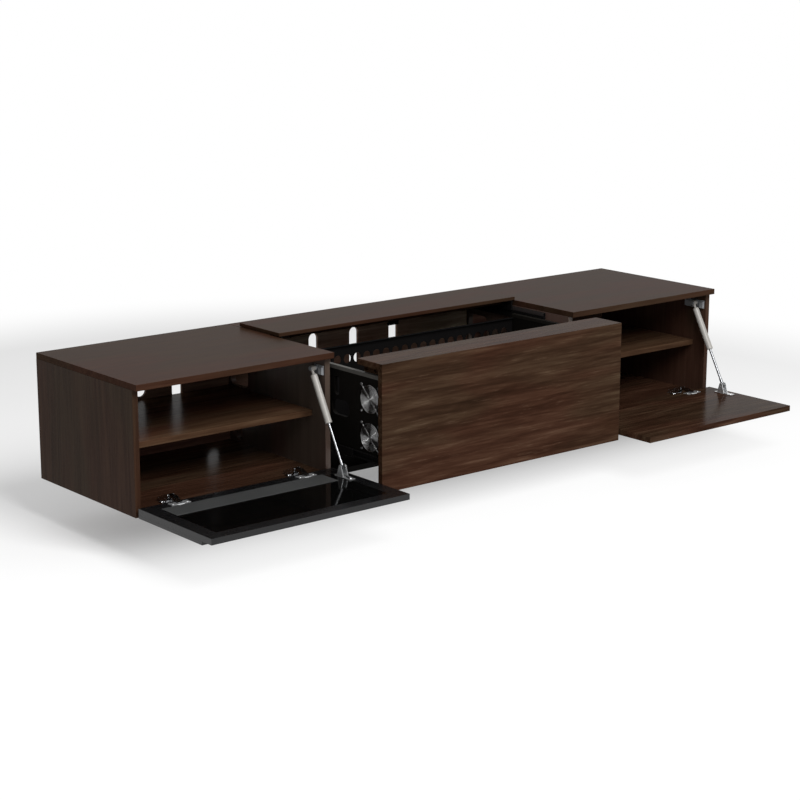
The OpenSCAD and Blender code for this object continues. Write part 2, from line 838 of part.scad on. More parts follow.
module strut_tube(x, z) {
    on_strut(x, z) {
        difference() {
            union() {
                bar_x(-eye_w/2, eye_w/2 + barrel_x, 0, 0, 8.5);
                translate([0, 0, -tube_start]) cylinder(r = 4.5, h = tube_start - 7, $fn = 48);
                translate([0, 0, -tube_start - 4]) cylinder(r1 = tube_r, r2 = tube_r - 3, h = 4, $fn = 64);
                translate([0, 0, -tube_start - tube_l]) cylinder(r = tube_r, h = tube_l - 4, $fn = 64);
            }
            bar_x(-eye_w, eye_w + barrel_x, 0, 0, strut_pin_r + run_gap);
            translate([0, 0, -tube_start - tube_l - 1])
                cylinder(r = rod_r + run_gap, h = tube_l - 20, $fn = 48);
        }
    }
}

module strut_rod(x, z) {
    in_tube = 18;
    length = strut_length(z);
    on_strut(x, z) {
        translate([0, 0, -length + 6])
            cylinder(r = rod_r, h = length - 6 - tube_start - tube_l + in_tube, $fn = 48);
        translate([0, 0, -length]) difference() {
            union() {
                bar_x(-eye_w/2, eye_w/2, 0, 0, 7);
                cylinder(r = 5.5, h = 22, $fn = 48);
            }
            bar_x(-eye_w, eye_w, 0, 0, 3.5);
        }
    }
}

module left_strut_tube() {
    color(bright_metal) strut_tube(strut_left_x, left_open_z);
}

module right_strut_tube() {
    color(bright_metal) strut_tube(strut_right_x, right_open_z);
}

module left_strut_rod() {
    color(bright_metal) strut_rod(strut_left_x, left_open_z);
}

module right_strut_rod() {
    color(bright_metal) strut_rod(strut_right_x, right_open_z);
}

// The upper bracket of a strut: a plate on the panel at wall_x with the tube's pin and a block in front
module strut_bracket(wall_x, length, rear_block) {
    eye_x = wall_x - strut_in + eye_w/2 + barrel_x;
    pin_x = wall_x - strut_in - eye_w/2;
    nose = pivot_y - bracket_nose;
    back = nose + length;
    high = pivot_z + bracket_up;
    low = high - bracket_h;
    color(plain_grey) {
        span([wall_x - 3, wall_x], [nose, back], [low, high]);
        if (rear_block)
            span([wall_x - 14, wall_x - 3], [back - 36, back - 2], [low + 4, high - 4]);
        span([wall_x - 9, wall_x - 3], [nose, nose + 18], [low + 2, high - 6]);
        bar_x(eye_x + 0.3, wall_x - 3, pivot_y, pivot_z, 8);
        bar_x(pin_x - 2, wall_x - 3, pivot_y, pivot_z, strut_pin_r);
        bar_x(pin_x - 3, pin_x - 0.3, pivot_y, pivot_z, 6.5);
    }
}

module strut_brackets() {
    strut_bracket(-half_bay - board, bracket_short, false);
    strut_bracket(half_w - board, bracket_l, true);
}

// A channel along Y, open towards +X, its web on x0, w deep and h high
module channel(x0, w, h, y, open_right = true) {
    t = slide_sheet;
    difference() {
        span([x0, x0 + w], y, [slide_z - h/2, slide_z + h/2]);
        span([open_right ? x0 + t : x0 - 1, open_right ? x0 + w + 1 : x0 + w - t],
            [y[0] - 1, y[1] + 1], [slide_z - h/2 + t, slide_z + h/2 - t]);
    }
}

mid_h = slide_h - 2*slide_sheet - 2*slide_run;
inner_h = mid_h - 2*slide_sheet - 2*slide_run;
outer_y = [face_y + 4, face_y + 4 + slide_l];

module slide_outer_members() {
    color(black_steel) both() channel(-half_bay, slide_space - 2, slide_h, outer_y);
}

module slide_middle_members() {
    shift = drawer_out/2;
    color(plain_grey) both() channel(-half_bay + slide_sheet + slide_run, slide_space - 4.5, mid_h,
        [outer_y[0] - shift, outer_y[1] - shift]);
}

module slide_inner_members() {
    x0 = -half_bay + 2*slide_sheet + 2*slide_run;
    color(black_steel) both() channel(x0, -side_out - x0, inner_h, [inside_y + 2, inside_y + 2 + slide_l],
        open_right = false);
}

// The outline of the mitred corner, in the plane of Y and Z: the front's share or the slab's
module drawer_front() {
    color(walnut) translate([-front_x, 0, 0]) rotate([90, 0, 90]) linear_extrude(2*front_x)
        polygon([[drawer_y, bottom_z], [inside_y, bottom_z], [inside_y, under_z], [drawer_y, top_z]]);
}

module drawer_slab() {
    color(walnut) translate([-front_x, 0, 0]) rotate([90, 0, 90]) linear_extrude(2*front_x)
        polygon([[inside_y, under_z], [drawer_y + slab_d, under_z], [drawer_y + slab_d, top_z],
            [drawer_y, top_z]]);
}

module slab_battens() {
    batten_l = slab_d - board - 5;
    outer = -side_in + trim_wall;
    hole_z = (side_top + under_z)/2;
    color(walnut) both() difference() {
        span([outer, outer + 20], [inside_y, inside_y + batten_l], [side_top - trim_h - 4, under_z]);
        for (y = [41, 86]) translate([outer - 1, inside_y + y, hole_z]) rotate([0, 90, 0])
            cylinder(r = 8, h = 9, $fn = 48);
    }
}

module fan_holes() {
    for (z = fan_z) {
        translate([-side_out - 1, fan_y, z]) rotate([0, 90, 0])
            cylinder(r = duct_r, h = side_t + 2, $fn = 96);
        fan_screw_places(z) translate([0, 0, -1]) cylinder(r = 2, h = side_t + 2, $fn = 32);
    }
}

// Puts its child at each of a left fan's four screws, with Z of the child along X of the cabinet
module fan_screw_places(z) {
    for (a = [-1, 1], b = [-1, 1])
        translate([-side_out, fan_y + a*fan_screw/2, z + b*fan_screw/2]) rotate([0, 90, 0]) children();
}

module drawer_side() {
    difference() {
        span([-side_out, -side_in], [inside_y, rear_y], [side_low, side_top - trim_wall]);
        fan_holes();
        slot_cut_x(inside_y + side_slot_in, side_slot_low, side_slot_high, side_slot_w);
        translate([-side_out - 1, inside_y + port_in, port_z]) rotate([0, 90, 0])
            linear_extrude(side_t + 2) rounded(port_h, port_l, port_r);
    }
}

// An upright slot through the drawer's side
module slot_cut_x(y, z0, z1, w) {
    translate([-side_out - 1, y, (z0 + z1)/2]) rotate([0, 90, 0]) linear_extrude(side_t + 2)
        union() {
            square([z1 - z0 - w, w], center = true);
            for (s = [-1, 1]) translate([s*((z1 - z0)/2 - w/2), 0]) circle(r = w/2, $fn = 48);
        }
}

module drawer_left_side() {
    color(black_board) drawer_side();
}

module drawer_right_side() {
    color(black_board) mirror([1, 0, 0]) drawer_side();
}

module drawer_trims() {
    color(bright_metal) both() difference() {
        span([-side_out - trim_wall, -side_in + trim_wall], [inside_y, rear_y],
            [side_top - trim_h, side_top]);
        span([-side_out, -side_in], [inside_y - 1, rear_y + 1],
            [side_top - trim_h - 1, side_top - trim_wall]);
    }
}

module projector_tray() {
    color(black_board) span([-side_in, side_in], [inside_y, rear_y - rear_t],
        [tray_top - tray_t, tray_top]);
}

module drawer_rear_panel() {
    first = -vent_pitch*(vent_n - 1)/2;
    color(black_steel) {
        difference() {
            span([-side_in, side_in], [rear_y - rear_t, rear_y], [tray_top - tray_t, rear_top]);
            for (i = [0:vent_n - 1])
                slot_cut(first + i*vent_pitch, vent_low, vent_high, vent_w, rear_y - rear_t - 1, rear_y + 1);
        }
        span([-side_in, side_in], [rear_y - rear_flange, rear_y - rear_t], [rear_top - rear_t, rear_top]);
    }
}

module fan_frame(z) {
    x0 = -side_in;
    screw_r = 2;
    translate([x0, fan_y, z]) rotate([0, 90, 0]) {
        difference() {
            linear_extrude(fan_t) rounded(fan_s, fan_s, 5);
            translate([0, 0, -1]) cylinder(r = duct_r, h = fan_t + 2, $fn = 96);
            for (a = [-1, 1], b = [-1, 1]) translate([a*fan_screw/2, b*fan_screw/2, -1])
                cylinder(r = screw_r, h = fan_t + 2, $fn = 32);
        }
        translate([0, 0, fan_t - stator_t]) {
            cylinder(r = hub_r, h = stator_t, $fn = 64);
            for (a = [45:90:315]) rotate([0, 0, a]) translate([hub_r - 1, -2.5, 0])
                cube([duct_r - hub_r + 1.5, 5, stator_t]);
        }
        translate([0, 0, 3]) cylinder(r = axle_r, h = fan_t - stator_t - 3, $fn = 32);
    }
}

module fan_frames() {
    color(black_steel) both() for (z = fan_z) fan_frame(z);
}

// A guard of bent wire: rings on four spokes, with an eye at each screw
module guard(z) {
    spoke_l = fan_screw/sqrt(2) - ring_pitch - 4;
    translate([-side_out, fan_y, z]) rotate([0, -90, 0]) {
        for (i = [1:ring_n]) difference() {
            cylinder(r = i*ring_pitch + wire_r, h = 2*wire_r, $fn = 96);
            translate([0, 0, -1]) cylinder(r = i*ring_pitch - wire_r, h = 2*wire_r + 2, $fn = 96);
        }
        for (a = [45:90:315]) rotate([0, 0, a]) translate([ring_pitch, -wire_r, 0])
            cube([spoke_l, 2*wire_r, 2*wire_r]);
        for (a = [-1, 1], b = [-1, 1]) translate([a*fan_screw/2, b*fan_screw/2, 0]) difference() {
            cylinder(r = 5, h = 2*wire_r, $fn = 32);
            translate([0, 0, -1]) cylinder(r = 2, h = 2*wire_r + 2, $fn = 32);
        }
    }
}

module fan_guards() {
    color(bright_metal) both() for (z = fan_z) guard(z);
}

module fan_screws() {
    color(bright_metal) both() for (z = fan_z) fan_screw_places(z) translate([0, 0, -2*wire_r]) {
        cylinder(r = 2, h = side_t + fan_t + 2*wire_r, $fn = 32);
        translate([0, 0, -2.4]) cylinder(r1 = 3, r2 = 4, h = 2.4, $fn = 32);
    }
}

module impeller(z) {
    x0 = -side_in + 3.5;
    translate([x0, fan_y, z]) rotate([0, 90, 0]) difference() {
        union() {
            cylinder(r = hub_r, h = fan_t - stator_t - 5, $fn = 64);
            intersection() {
                for (i = [0:blade_n - 1]) rotate([0, 0, 360*i/blade_n]) translate([hub_r - 2, 0, 9])
                    rotate([38, 0, 0]) translate([0, -11, -0.7]) cube([blade_r - hub_r + 4, 22, 1.4]);
                translate([0, 0, 0.5]) cylinder(r = blade_r, h = blade_w + 2, $fn = 96);
            }
        }
        translate([0, 0, -1]) cylinder(r = axle_r + run_gap, h = fan_t, $fn = 32);
    }
}

module impeller_left_low() {
    color(black_steel) impeller(fan_z[0]);
}

module impeller_left_high() {
    color(black_steel) impeller(fan_z[1]);
}

module impeller_right_low() {
    color(black_steel) mirror([1, 0, 0]) impeller(fan_z[0]);
}

module impeller_right_high() {
    color(black_steel) mirror([1, 0, 0]) impeller(fan_z[1]);
}

// The electric drive: a tube with a motor beside it, both on a gear block at the back
module drive_motor() {
    motor_x = drive_tube_r + motor_r + 4;
    color(black_steel) {
        difference() {
            union() {
                translate([0, drive_back, drive_z]) rotate([90, 0, 0])
                    cylinder(r = drive_tube_r, h = drive_tube_l, $fn = 64);
                translate([motor_x, drive_back, drive_z]) rotate([90, 0, 0])
                    cylinder(r = motor_r, h = motor_l, $fn = 64);
                span([-drive_tube_r - 4, motor_x + motor_r + 2], [drive_back - 4, back_y],
                    [drive_z - 20, drive_z + 20]);
            }
            translate([0, drive_back - 10, drive_z]) rotate([90, 0, 0])
                cylinder(r = drive_rod_r + run_gap, h = drive_tube_l, $fn = 48);
        }
        span([-drive_tube_r - 4, drive_tube_r + 4], [drive_front + 10, drive_front + 10 + drive_foot_l],
            [floor_z, drive_z - drive_tube_r + 4]);
    }
}

module drive_rod() {
    rod_front = drive_front - drawer_out - 12;
    color(bright_metal) {
        translate([0, drive_front + 20, drive_z]) rotate([90, 0, 0])
            cylinder(r = drive_rod_r, h = drive_front + 20 - rod_front, $fn = 48);
        span([-drive_rod_r - 6, drive_rod_r + 6], [rod_front - drive_foot_l, rod_front],
            [drive_z - drive_rod_r - 4, tray_top - tray_t]);
    }
}

module control_box() {
    box_x = [half_bay - box_in - box_l, half_bay - box_in];
    box_y = [back_y - box_back - box_d, back_y - box_back];
    color(black_steel) difference() {
        span(box_x, box_y, [floor_z, floor_z + box_h]);
        span([box_x[0] + 20, box_x[0] + 48], [box_y[1] - 14, box_y[1] + 1], [floor_z + 10, floor_z + 30]);
        for (i = [0:7]) span([box_x[0] + 20 + i*14, box_x[0] + 24 + i*14],
            [box_y[0] + 20, box_y[1] - 30], [floor_z + box_h - 2, floor_z + box_h + 1]);
    }
}

left_side_panel();
left_divider();
right_divider();
right_side_panel();
left_top();
right_top();
left_bottom();
centre_bottom();
right_bottom();
left_shelf();
right_shelf();
shelf_pins();
left_back_panel();
centre_back_panel();
right_back_panel();
rear_top_strip();
wall_rails();
cabinet_hangers();
tracks_and_catch();
hinge_plates();
hinge_arms();
strut_brackets();
slide_outer_members();
drive_motor();
control_box();
left_flap_frame();
left_flap_glass();
left_flap_outer_panel();
left_flap_hinge_plate();
left_hinge_cups();
left_clevis();
right_flap_panel();
right_hinge_cups();
right_clevis();
left_hinge_links();
right_hinge_links();
left_strut_tube();
left_strut_rod();
right_strut_tube();
right_strut_rod();
drawer_front();
drawer_slab();
slab_battens();
drawer_left_side();
drawer_right_side();
drawer_trims();
projector_tray();
drawer_rear_panel();
fan_frames();
fan_guards();
fan_screws();
impeller_left_low();
impeller_left_high();
impeller_right_low();
impeller_right_high();
slide_inner_members();
drive_rod();
slide_middle_members();
sliding_lid();
lid_runners();
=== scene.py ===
import json
import math

import bmesh
import bpy
import numpy as np
from mathutils import Matrix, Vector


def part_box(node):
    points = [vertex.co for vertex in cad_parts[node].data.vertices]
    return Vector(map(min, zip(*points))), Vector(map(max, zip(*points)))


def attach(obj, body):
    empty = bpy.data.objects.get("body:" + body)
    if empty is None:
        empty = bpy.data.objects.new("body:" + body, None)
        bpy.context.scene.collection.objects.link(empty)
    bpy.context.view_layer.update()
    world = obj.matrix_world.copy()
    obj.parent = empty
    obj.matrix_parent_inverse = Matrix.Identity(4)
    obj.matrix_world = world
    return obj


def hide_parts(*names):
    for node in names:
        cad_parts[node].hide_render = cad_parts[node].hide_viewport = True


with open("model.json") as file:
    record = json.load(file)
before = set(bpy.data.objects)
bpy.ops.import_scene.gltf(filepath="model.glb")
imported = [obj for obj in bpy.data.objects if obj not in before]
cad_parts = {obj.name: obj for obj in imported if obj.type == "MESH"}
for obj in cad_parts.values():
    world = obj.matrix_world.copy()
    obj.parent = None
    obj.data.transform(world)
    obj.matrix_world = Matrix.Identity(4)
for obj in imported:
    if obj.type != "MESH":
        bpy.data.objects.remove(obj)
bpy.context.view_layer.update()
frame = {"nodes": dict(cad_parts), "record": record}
nodes = frame["nodes"]
bodyOf = {node: body for body, group in frame["record"]["behaviour"]["bodies"].items() for node in group}
slotOf = {part["node"]: part["material_slot"] for part in frame["record"]["subparts"]}
print("frame loaded,", len(nodes), "nodes")


def tone(red, green, blue):
    # a colour as read from a screen, 0 to 255, made linear for the shader
    level = np.array([red, green, blue]) / 255
    level = np.where(level <= 0.04045, level / 12.92, ((level + 0.055) / 1.055) ** 2.4)
    return (*level.tolist(), 1.0)


# camera, light and floor

cameraValues = {"place": (-4.0729, -5.2348, 1.4572), "yaw": 39.37, "down": 13.5, "roll": 0.05, "lens": 88.0}


def addCamera(values):
    lens = bpy.data.cameras.new("photoCamera")
    lens.lens, lens.sensor_width, lens.clip_end = values["lens"], 36.0, 200.0
    camera = bpy.data.objects.new("photoCamera", lens)
    bpy.context.scene.collection.objects.link(camera)
    turn = (Matrix.Rotation(math.radians(-values["yaw"]), 4, "Z")
            @ Matrix.Rotation(math.radians(90 - values["down"]), 4, "X")
            @ Matrix.Rotation(math.radians(values["roll"]), 4, "Z"))
    camera.matrix_world = Matrix.Translation(values["place"]) @ turn
    bpy.context.scene.camera = camera


addCamera(cameraValues)


class Wire:
    # one output of a node, so that shader maths reads as an expression
    def __init__(self, finish, socket):
        self.finish, self.socket = finish, socket

    def maths(self, operation, first, second):
        return self.finish.make("ShaderNodeMath", {"operation": operation}, {0: first, 1: second})

    def __add__(self, other):
        return self.maths("ADD", self, other)

    def __sub__(self, other):
        return self.maths("SUBTRACT", self, other)

    def __rsub__(self, other):
        return self.maths("SUBTRACT", other, self)

    def __mul__(self, other):
        return self.maths("MULTIPLY", self, other)

    def larger(self, other):
        return self.maths("MAXIMUM", self, other)

    def within(self, low, high):
        # 0 below low, 1 above high, smooth between
        return self.finish.make("ShaderNodeMapRange", {"interpolation_type": "SMOOTHSTEP"},
                                {"Value": self, "From Min": low, "From Max": high})

    __radd__, __rmul__ = __add__, __mul__


class Finish:
    # a node tree that is filled one node at a time
    def __init__(self, tree):
        self.tree = tree
        tree.nodes.clear()

    def make(self, kind, settings, sockets, out=0):
        # adds a node: its settings first, then the values or links of its sockets
        node = self.tree.nodes.new(kind)
        for key, value in settings.items():
            if key == "stops":
                points = node.color_ramp.elements
                points.remove(points[-1])
                points[0].position, points[0].color = value[0]
                for place, colour in value[1:]:
                    points.new(place).color = colour
            else:
                setattr(node, key, value)
        for key, value in sockets.items():
            if isinstance(value, Wire):
                self.tree.links.new(value.socket, node.inputs[key])
            else:
                node.inputs[key].default_value = value
        return Wire(self, node.outputs[out]) if node.outputs else None

    def blend(self, factor, low, high, kind="MIX"):
        return self.make("ShaderNodeMix", {"data_type": "RGBA", "blend_type": kind},
                         {0: factor, 6: low, 7: high}, 2)

    def place(self, scale, shift=(0, 0, 0)):
        # object coordinates, stretched
        spot = self.make("ShaderNodeTexCoord", {}, {}, "Object")
        return self.make("ShaderNodeMapping", {}, {"Vector": spot, "Scale": scale, "Location": shift})

    def noise(self, scale, detail=3.0, roughness=0.5, distortion=0.0, shift=(0, 0, 0)):
        return self.make("ShaderNodeTexNoise", {}, {"Vector": self.place(scale, shift), "Scale": 1.0,
                         "Detail": detail, "Roughness": roughness, "Distortion": distortion})

    def bump(self, height, strength, distance):
        # the pattern's relief, on edges that catch the light a little
        edge = self.make("ShaderNodeBevel", {"samples": 4}, {"Radius": 0.0006})
        return self.make("ShaderNodeBump", {}, {"Height": height, "Strength": strength,
                         "Distance": distance, "Normal": edge})

    def surface(self, **sockets):
        shader = self.make("ShaderNodeBsdfPrincipled", {}, {key.replace("_", " "): value
                                                             for key, value in sockets.items()})
        self.make("ShaderNodeOutputMaterial", {}, {"Surface": shader})


def newMaterial(name):
    material = bpy.data.materials.new(name)
    material.use_nodes = True
    return material, Finish(material.node_tree)


lightValues = {"sky": 0.46, "lampPower": 295.0, "lampSize": 3.0, "lampPlace": (-0.73, -4.15, 3.54)}


def addLight(values):
    world = bpy.data.worlds.new("studio")
    bpy.context.scene.world = world
    world.use_nodes = True
    sky = Finish(world.node_tree)
    seen = sky.make("ShaderNodeLightPath", {}, {}, "Is Camera Ray")
    mirrored = sky.make("ShaderNodeLightPath", {}, {}, "Is Glossy Ray")
    through = sky.make("ShaderNodeLightPath", {}, {}, "Is Transmission Ray")
    # the camera, mirrors and glass see white, and everything else gets the sky's light
    shown = seen.larger(mirrored).larger(through)
    light = sky.make("ShaderNodeBackground", {}, {"Color": (1, 1, 1, 1),
                     "Strength": values["sky"] + shown * (1 - values["sky"])})
    sky.make("ShaderNodeOutputWorld", {}, {"Surface": light})
    lamp = bpy.data.lights.new("softbox", "AREA")
    lamp.shape, lamp.size, lamp.energy = "DISK", values["lampSize"], values["lampPower"]
    box = bpy.data.objects.new("softbox", lamp)
    bpy.context.scene.collection.objects.link(box)
    place = np.array(values["lampPlace"])
    toward = -place / np.linalg.norm(place)
    box.location = place
    box.rotation_euler = (math.acos(-toward[2]), 0, math.atan2(toward[0], -toward[1]) + math.pi)


addLight(lightValues)
bpy.context.scene.view_settings.view_transform = "Standard"


def gridQuads(rows, columns, wrapRows, wrapColumns):
    # the four corners of each cell of a grid, with the last row or column joined to the first
    i, j = np.meshgrid(np.arange(rows if wrapRows else rows - 1),
                       np.arange(columns if wrapColumns else columns - 1), indexing="ij")
    k, m = (i + 1) % rows, (j + 1) % columns
    return np.stack([i * columns + j, i * columns + m, k * columns + m, k * columns + j], -1).reshape(-1, 4)


floorValues = {"height": -0.335, "reach": 40.0, "grey": 0.95, "behind": 0.28, "ahead": 0.57,
               "turnsAt": (0.235, 0.76), "fadesAt": (1.9, 3.2)}


def addFloor(values):
    # a flat square z(x, y) = height on a coarse grid
    across = np.linspace(-values["reach"], values["reach"], 9)
    x, y = np.meshgrid(across, across, indexing="ij")
    points = np.stack([x, y, np.full_like(x, values["height"])], -1)
    mesh = bpy.data.meshes.new("studioFloor")
    mesh.from_pydata(points.reshape(-1, 3).tolist(), [], gridQuads(9, 9, False, False).tolist())
    floor = bpy.data.objects.new("studioFloor", mesh)
    bpy.context.scene.collection.objects.link(floor)
    material, finish = newMaterial("paleFloor")
    mottle = finish.noise((3, 3, 3), 2.0)
    paint = finish.blend(mottle, (values["grey"],) * 3 + (1,), (values["grey"] * 0.995,) * 3 + (1,))
    matt = finish.make("ShaderNodeBsdfDiffuse", {}, {"Color": paint})
    glow = finish.make("ShaderNodeEmission", {}, {"Color": (1, 1, 1, 1), "Strength": 1.0})
    # painted light: what the camera and mirrors see of the floor glows white in front of the cabinet,
    # paling the cabinet's cast shadow there, and all round far away from it
    spot = finish.place((1, 1, 1))
    ahead = finish.make("ShaderNodeSeparateXYZ", {}, {0: spot}, "Y") * -1
    away = finish.make("ShaderNodeVectorMath", {"operation": "LENGTH"}, {0: spot}, "Value")
    near = values["behind"] + ahead.within(*values["turnsAt"]) * values["ahead"]
    seen = finish.make("ShaderNodeLightPath", {}, {}, "Is Camera Ray")
    mirrored = finish.make("ShaderNodeLightPath", {}, {}, "Is Glossy Ray")
    share = seen.larger(mirrored) * near.larger(away.within(*values["fadesAt"]))
    both = finish.make("ShaderNodeMixShader", {}, {0: share, 1: matt, 2: glow})
    finish.make("ShaderNodeOutputMaterial", {}, {"Surface": both})
    mesh.materials.append(material)


addFloor(floorValues)
print("camera, light and floor made")

# finishes

# scales along and across the grain, then how much each streak counts
grainValues = {"streaks": (2.6, 38), "lines": (8, 150), "fibres": (24, 700), "patches": (1.5, 6),
               "shares": (0.55, 0.34, 0.11), "stops": (0.3, 0.43, 0.5, 0.58, 0.72),
               "olive": (0.94, 1.03, 0.98, 1), "red": (1.07, 0.96, 0.94, 1), "depth": 0.0003}
woodTones = {"deep": tone(31, 19, 12), "dark": tone(42, 27, 19), "middle": tone(49, 33, 24),
             "light": tone(56, 40, 30), "pale": tone(74, 58, 46)}


def paintLightAndShade(finish, colour, values):
    # painted light and shade: colour made paler or darker past a place along one axis, where light falls
    # more or less; the insides are made paler, as if lit more evenly
    for axis, start, end, gain in values.get("paintedLightAndShade", []):
        place = finish.make("ShaderNodeSeparateXYZ", {}, {0: finish.place((1, 1, 1))}, axis)
        changed = finish.blend(1.0, colour, (*gain, 1), "MULTIPLY")
        colour = finish.blend(place.within(start, end), colour, changed)
    return colour


def woodFinish(name, grain, shift, values):
    # low streaks of three sizes along the grain, over slow patches of red and olive brown
    material, finish = newMaterial(name)

    def along(key):
        lengthwise, crosswise = grainValues[key]
        return tuple(lengthwise if axis == grain else crosswise for axis in "XYZ")

    streaks = finish.noise(along("streaks"), 4.0, 0.55, 0.8, shift)
    lines = finish.noise(along("lines"), 3.0, 0.6, 0.3, shift)
    fibres = finish.noise(along("fibres"), 2.0, 0.6, 0.0, shift)
    patches = finish.noise(along("patches"), 2.0, 0.5, 0.3, shift)
    wide, middle, fine = grainValues["shares"]
    mixed = streaks * wide + lines * middle + fibres * fine
    mixed = 0.5 + (mixed - 0.5) * values["contrast"]
    stops = list(zip(grainValues["stops"], woodTones.values()))
    base = finish.make("ShaderNodeValToRGB", {"stops": stops}, {"Fac": mixed})
    hue = finish.blend(patches.within(0.4, 0.6), grainValues["olive"], grainValues["red"])
    colour = finish.blend(1.0, base, hue, "MULTIPLY")
    # the board's own tone and, on the inside boards, painted light: a multiplier that makes them paler as
    # if more light reached them
    colour = finish.blend(1.0, colour, (*values["toneAndPaintedLight"], 1), "MULTIPLY")
    colour = paintLightAndShade(finish, colour, values)
    dashes = lines.within(0.58, 0.7) * fibres.within(0.5, 0.6) * values["dashes"]
    colour = finish.blend(dashes, colour, woodTones["pale"])
    rough = values["rough"] + (streaks - 0.5) * 0.08 + (fibres - 0.5) * 0.05
    height = fibres * 0.5 + lines * 0.5
    finish.surface(Base_Color=colour, Roughness=rough, Specular_IOR_Level=values["gloss"],
                   Normal=finish.bump(height, values["bump"], grainValues["depth"]))
    return material


satinWood = {"contrast": 1.1, "dashes": 0.7, "toneAndPaintedLight": (1.05, 1.05, 1.05),
             "rough": 0.25, "gloss": 0.006, "bump": 0.15}
flapWood = {"contrast": 1.3, "dashes": 0.1, "toneAndPaintedLight": (1, 1, 1),
            "rough": 0.19, "gloss": 0.0085, "bump": 0.06}
topWood = {"contrast": 0.5, "dashes": 0, "toneAndPaintedLight": (1.05, 1.05, 1.08),
           "rough": 0.32, "gloss": 0.0066, "bump": 0.06}
sideWood = {"contrast": 0.6, "dashes": 0, "toneAndPaintedLight": (0.95, 1, 1),
            "rough": 0.28, "gloss": 0.027, "bump": 0.08}
# painted light: the inside boards below are made up to several times paler than the outside walnut, as if
# the compartments were lit more evenly, the shelves and bottoms paler still towards the back; the dividers'
# bluer multiplier also paints a grey sheen
innerWood = {"contrast": 0.5, "dashes": 0, "toneAndPaintedLight": (1.35, 1.42, 1.6),
             "rough": 0.3, "gloss": 0.02, "bump": 0.06}
shelfWood = {"contrast": 0.8, "dashes": 0, "toneAndPaintedLight": (1.9, 1.85, 1.8),
             "rough": 0.24, "gloss": 0.009, "bump": 0.03,
             "paintedLightAndShade": [("Y", -0.5, -0.1, (1.5, 1.5, 1.5))]}
bottomWood = {"contrast": 1.0, "dashes": 0, "toneAndPaintedLight": (0.9, 0.9, 0.9),
              "rough": 0.22, "gloss": 0.016, "bump": 0.05,
              "paintedLightAndShade": [("Y", -0.5, -0.1, (2.6, 2.6, 2.6))]}
dividerWood = {"contrast": 0.3, "dashes": 0, "toneAndPaintedLight": (2.2, 2.9, 3.9),
               "rough": 0.35, "gloss": 0.3, "bump": 0.05}
# painted light: the back panels' inner faces are made several times paler, and past the middle of their
# thickness the back panels are about as dark as the side panels; the bay's back panel is paler again above
# z 0.03 to 0.07 m
backMiddle = (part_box("left_back_panel")[0][1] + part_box("left_back_panel")[1][1]) / 2
backSkin = 0.0005
backWood = {"contrast": 0.8, "dashes": 0, "toneAndPaintedLight": (4.4, 4.8, 6),
            "rough": 0.25, "gloss": 0.02, "bump": 0.06,
            "paintedLightAndShade": [("Y", backMiddle, backMiddle + backSkin, (0.22, 0.2, 0.16))]}
bayWood = {"contrast": 0.8, "dashes": 0, "toneAndPaintedLight": (2.4, 2.6, 3.2),
           "rough": 0.25, "gloss": 0.02, "bump": 0.06,
           "paintedLightAndShade": [("Z", 0.03, 0.07, (3.2, 4.0, 4.0)),
                     ("Y", backMiddle, backMiddle + backSkin, (0.28, 0.24, 0.2))]}


def speckled(name, low, high, values):
    # paint, board or plastic: a fine speckle and slow clouds over two close tones
    material, finish = newMaterial(name)
    grain = finish.noise((values["speckle"],) * 3, 3.0, 0.6)
    clouds = finish.noise((9, 9, 9), 3.0)
    colour = paintLightAndShade(finish, finish.blend(grain * 0.6 + clouds * 0.4, low, high), values)
    rough = values["rough"] + (clouds - 0.5) * 0.14 + (grain - 0.5) * 0.1
    finish.surface(Base_Color=colour, Roughness=rough, Metallic=values["metal"],
                   Specular_IOR_Level=values["gloss"],
                   Normal=finish.bump(grain, values["bump"], 0.0003))
    return material


def brushed(name, low, high, line, values):
    # metal with hairlines along one axis
    material, finish = newMaterial(name)
    stretch = tuple(6 if axis == line else 900 for axis in "XYZ")
    hair = finish.noise(stretch, 3.0, 0.65)
    clouds = finish.noise((7, 7, 7), 2.0)
    colour = finish.blend(hair * 0.7 + clouds * 0.3, low, high)
    rough = values["rough"] + (hair - 0.5) * 0.22 + (clouds - 0.5) * 0.08
    finish.surface(Base_Color=colour, Roughness=rough, Metallic=values["metal"],
                   Normal=finish.bump(hair, values["bump"], 0.0002))
    return material


def polished(name, low, high, rough):
    # plated metal: clouds of wear and a trace of fingerprints in the roughness
    material, finish = newMaterial(name)
    clouds = finish.noise((40, 40, 40), 4.0)
    marks = finish.noise((160, 160, 160), 2.0, 0.7)
    finish.surface(Base_Color=finish.blend(clouds, low, high), Metallic=1.0,
                   Roughness=rough + marks.within(0.45, 0.7) * 0.1,
                   Normal=finish.bump(marks, 0.04, 0.0002))
    return material


def paintedGlass(name):
    # black glass: a dark mirror with faint smears
    material, finish = newMaterial(name)
    smears = finish.noise((5, 18, 5), 4.0, 0.6, 1.2)
    dust = finish.noise((700, 700, 700), 2.0)
    colour = finish.blend(dust.within(0.62, 0.72) * 0.4, tone(5, 5, 5), tone(16, 16, 16))
    finish.surface(Base_Color=colour, Roughness=0.05 + smears.within(0.5, 0.8) * 0.09,
                   Specular_IOR_Level=0.16, Normal=finish.bump(smears, 0.01, 0.0002))
    return material


